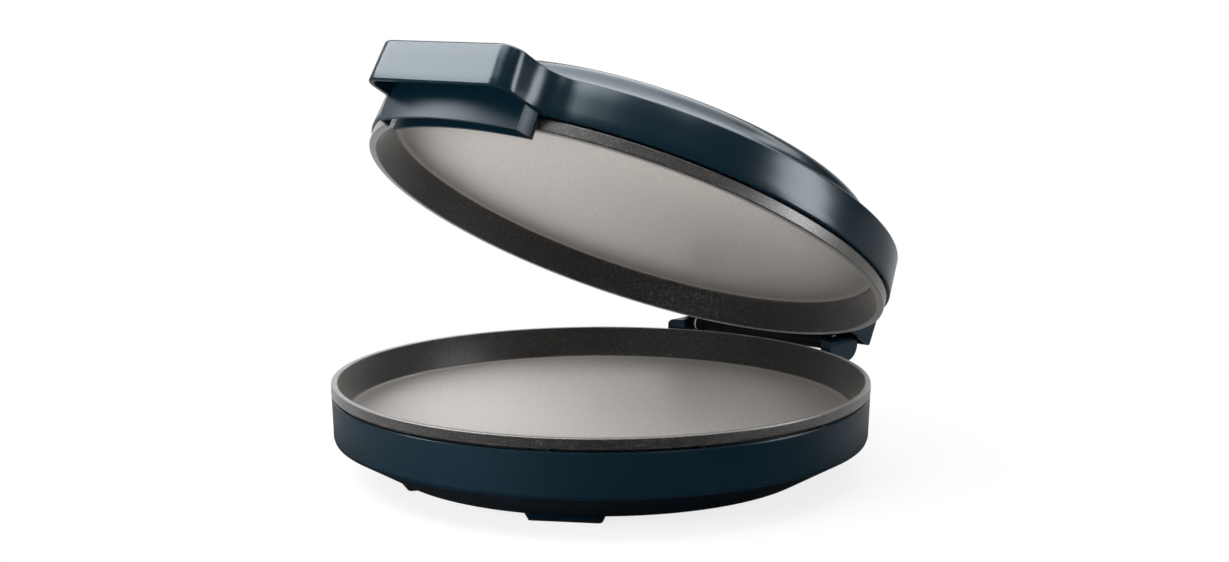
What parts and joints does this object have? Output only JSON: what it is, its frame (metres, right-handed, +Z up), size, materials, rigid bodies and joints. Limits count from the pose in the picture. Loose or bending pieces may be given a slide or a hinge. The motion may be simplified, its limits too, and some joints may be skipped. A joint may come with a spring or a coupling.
{
  "type": "electric pizza maker",
  "caption": "Countertop electric pizza maker: a round base pan and a hinged lid pan in moulded shells, with a front handle, heaters and splayed feet.",
  "frame": {"origin": "centre of the base on the table top, at the level of the foot pads' soles", "axes": "+Z up, -Y towards the handle at the front, +Y towards the hinge at the back, +X to the right of someone facing the handle"},
  "size_m": [0.3348, 0.3724, 0.2654],
  "materials": {
    "shell": "satin dark navy moulding",
    "cover": "fine matt navy-black moulding",
    "foot": "matt navy-black moulding",
    "pad": "soft matt black",
    "cast_pan": "die-cast with a dark speckled non-stick coating",
    "heating_tube": "dull sheath",
    "shield": "bright pressed sheet",
    "ceramic": "matt off-white",
    "sleeve": "woven heat-proof sleeve",
    "screw": "zinc plated",
    "black_moulding": "satin black",
    "pin": "ground steel",
    "washer": "smooth nylon",
    "red_lens": "clear tinted red",
    "green_lens": "clear tinted green",
    "lamp": "matt off-white"
  },
  "bodies": {
    "base": {"base_housing": "shell", "bottom_cover": "cover", "foot_front_left": "foot", "foot_front_right": "foot", "foot_rear_left": "foot", "foot_rear_right": "foot", "pad_front_left": "pad", "pad_front_right": "pad", "pad_rear_left": "pad", "pad_rear_right": "pad", "lower_pan": "cast_pan", "lower_element": "heating_tube", "lower_heat_shield": "shield", "lower_thermostat": "ceramic", "lower_thermal_fuse": "sleeve", "bottom_screws": "screw", "terminal_block": "ceramic", "cord_gland": "black_moulding", "cord_clamp": "black_moulding", "cord_clamp_screws": "screw", "base_wires": "sleeve", "hinge_pin_left": "pin", "hinge_pin_right": "pin", "hinge_washers": "washer"},
    "lid": {"lid_housing": "shell", "lid_cap": "shell", "catch_skirt": "shell", "skirt_screws": "screw", "hinge_bracket": "black_moulding", "hinge_screws": "screw", "upper_pan": "cast_pan", "upper_element": "heating_tube", "upper_heat_shield": "shield", "upper_thermostat": "ceramic", "upper_thermal_fuse": "sleeve", "upper_pan_screws": "screw", "power_light": "red_lens", "ready_light": "green_lens", "lamp_bodies": "lamp", "lid_wires": "sleeve"}
  },
  "joints": [
    {"name": "lid_hinge", "type": "hinge", "parent": "base", "child": "lid", "pos_m": [0, 0.1734, 0.059], "axis": [-1, 0, 0], "range_deg": [-29, 71]}
  ]
}
